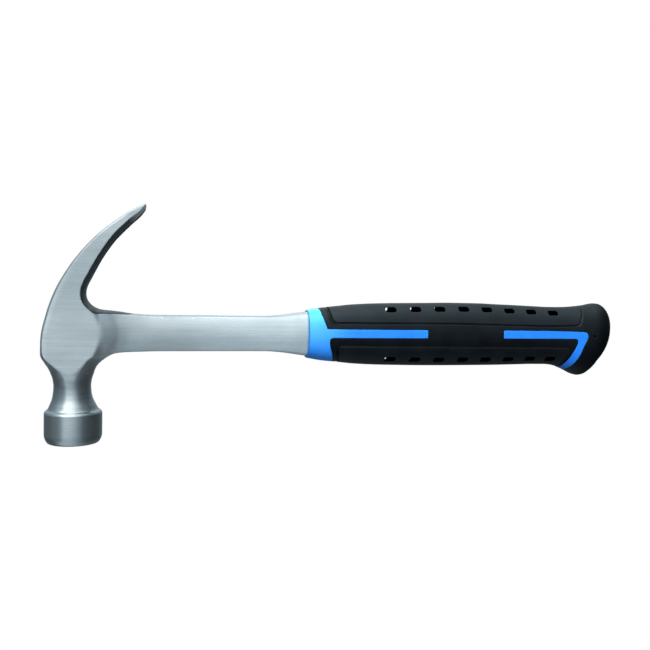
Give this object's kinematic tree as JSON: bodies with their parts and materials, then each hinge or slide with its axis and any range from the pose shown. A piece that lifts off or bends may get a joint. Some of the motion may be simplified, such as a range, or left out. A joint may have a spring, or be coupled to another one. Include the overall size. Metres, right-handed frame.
{
  "type": "claw hammer",
  "caption": "One-piece steel claw hammer with a round striking face, curved nail claws, a bare flat shank and a moulded oval grip with cushioned pads.",
  "frame": {"origin": "centre of the striking face, on the poll axis", "axes": "+X along the handle from the head to the butt, +Z from the striking face to the claws, +Y across the thickness"},
  "size_m": [0.3222, 0.0282, 0.1221],
  "materials": {
    "steel": "ground and brushed along the handle direction, forged edges darker",
    "core_plastic": "satin blue moulded plastic",
    "shell_plastic": "fine grained black moulded elastomer",
    "soft_pad": "fine grained soft black elastomer"
  },
  "bodies": {
    "root": {"hammer_forging": "steel", "grip_core": "core_plastic", "grip_shell": "shell_plastic", "upper_grip_pad": "soft_pad", "lower_grip_pad": "soft_pad"}
  },
  "joints": []
}
